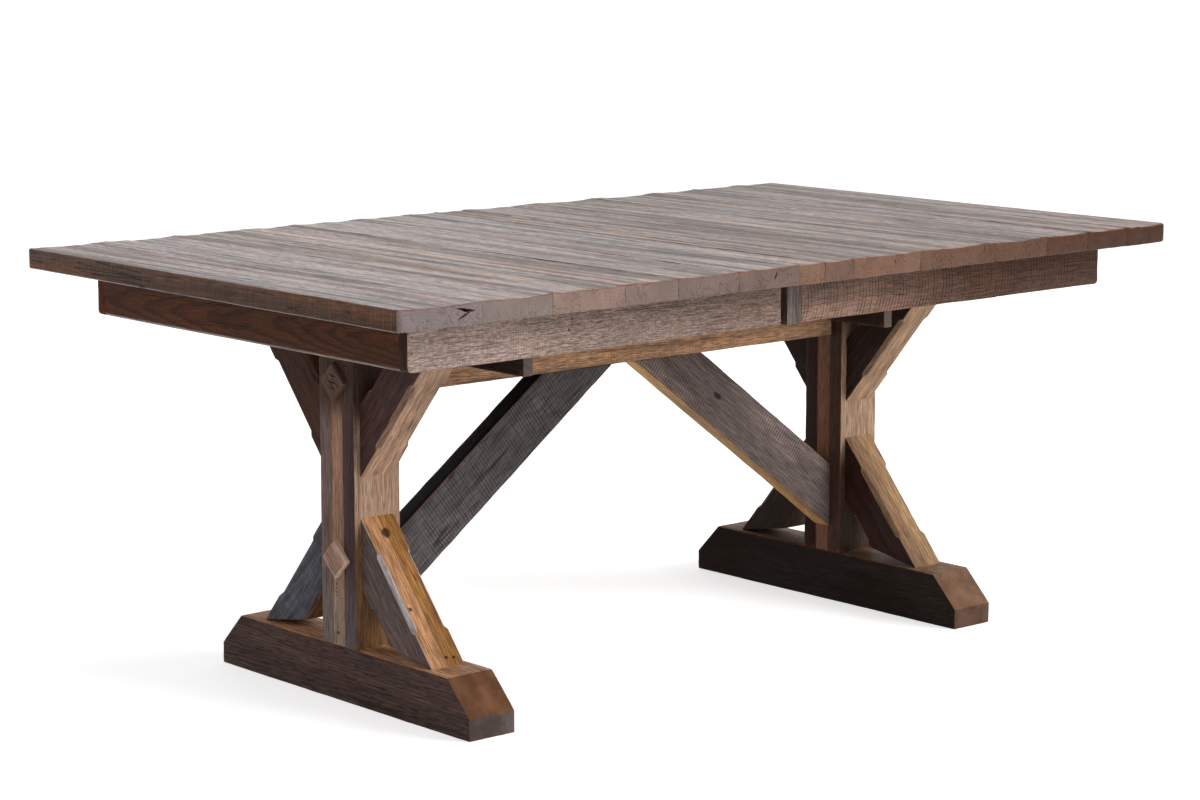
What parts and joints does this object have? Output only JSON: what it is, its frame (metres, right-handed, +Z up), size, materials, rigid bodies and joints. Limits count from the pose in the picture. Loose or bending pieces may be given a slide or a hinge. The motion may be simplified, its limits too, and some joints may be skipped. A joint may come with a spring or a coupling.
{
  "type": "sawbuck pedestal extension table",
  "caption": "Plank-topped dining table on two sawbuck pedestals, tied by a beam and diagonals; the top parts at its middle on geared wooden slides.",
  "frame": {"origin": "centre of the footprint, on the floor under the seam of the closed top", "axes": "+Z up, +X along the table's length towards the half with the upright apron blocks, +Y across it towards the far side"},
  "size_m": [1.8288, 1.0668, 0.762],
  "materials": {
    "top_planks": "reclaimed oak planks, brown-gray stain under a satin coat",
    "apron_boards": "rough-sawn reclaimed oak boards, stained",
    "frame_timber": "rough-sawn reclaimed oak timber, stained",
    "slide_maple": "plain hardwood, waxed",
    "screw_steel": "zinc-plated steel"
  },
  "bodies": {
    "base": {"beam": "frame_timber", "bolt_covers": "frame_timber", "fixed_slide_screws": "screw_steel", "fixed_slides": "slide_maple", "lag_screws": "screw_steel", "lag_washers": "screw_steel", "left_cleat": "frame_timber", "left_cross_board": "frame_timber", "left_diagonal": "frame_timber", "left_far_lower_brace": "frame_timber", "left_far_upper_brace": "frame_timber", "left_foot": "frame_timber", "left_near_lower_brace": "frame_timber", "left_near_upper_brace": "frame_timber", "left_post_core": "frame_timber", "left_post_plies": "frame_timber", "pinion_axles": "screw_steel", "right_cleat": "frame_timber", "right_cross_board": "frame_timber", "right_diagonal": "frame_timber", "right_far_lower_brace": "frame_timber", "right_far_upper_brace": "frame_timber", "right_foot": "frame_timber", "right_near_lower_brace": "frame_timber", "right_near_upper_brace": "frame_timber", "right_post_core": "frame_timber", "right_post_plies": "frame_timber"},
    "left_top": {"left_end_apron": "apron_boards", "left_far_apron": "apron_boards", "left_near_apron": "apron_boards", "left_plank_1": "top_planks", "left_plank_2": "top_planks", "left_plank_3": "top_planks", "left_plank_4": "top_planks", "left_plank_5": "top_planks", "left_plank_6": "top_planks", "left_plank_7": "top_planks", "left_racks": "slide_maple", "left_slide_screws": "screw_steel", "left_slides": "slide_maple", "left_stop_pegs": "slide_maple"},
    "right_top": {"right_apron_blocks": "apron_boards", "right_end_apron": "apron_boards", "right_far_apron": "apron_boards", "right_near_apron": "apron_boards", "right_plank_1": "top_planks", "right_plank_2": "top_planks", "right_plank_3": "top_planks", "right_plank_4": "top_planks", "right_plank_5": "top_planks", "right_plank_6": "top_planks", "right_plank_7": "top_planks", "right_racks": "slide_maple", "right_slide_screws": "screw_steel", "right_slides": "slide_maple", "right_stop_pegs": "slide_maple", "seam_dowels": "slide_maple"},
    "near_pinion": {"near_pinion": "slide_maple"},
    "far_pinion": {"far_pinion": "slide_maple"}
  },
  "joints": [
    {"name": "left_top_slide", "type": "slide", "parent": "base", "child": "left_top", "axis": [-1, 0, 0], "range_m": [0, 0.305]},
    {"name": "right_top_slide", "type": "slide", "parent": "base", "child": "right_top", "axis": [1, 0, 0], "range_m": [0, 0.305]},
    {"name": "near_pinion_spin", "type": "hinge", "parent": "base", "child": "near_pinion", "pos_m": [0, -0.23, 0.681], "axis": [0, 0, -1], "range_deg": [0, 874]},
    {"name": "far_pinion_spin", "type": "hinge", "parent": "base", "child": "far_pinion", "pos_m": [0, 0.23, 0.681], "axis": [0, 0, 1], "range_deg": [0, 874]}
  ],
  "couplings": [
    {"joint": "right_top_slide", "follows": "left_top_slide", "ratio": 1},
    {"joint": "near_pinion_spin", "follows": "left_top_slide", "rad_per_m": 50},
    {"joint": "far_pinion_spin", "follows": "left_top_slide", "rad_per_m": 50}
  ]
}
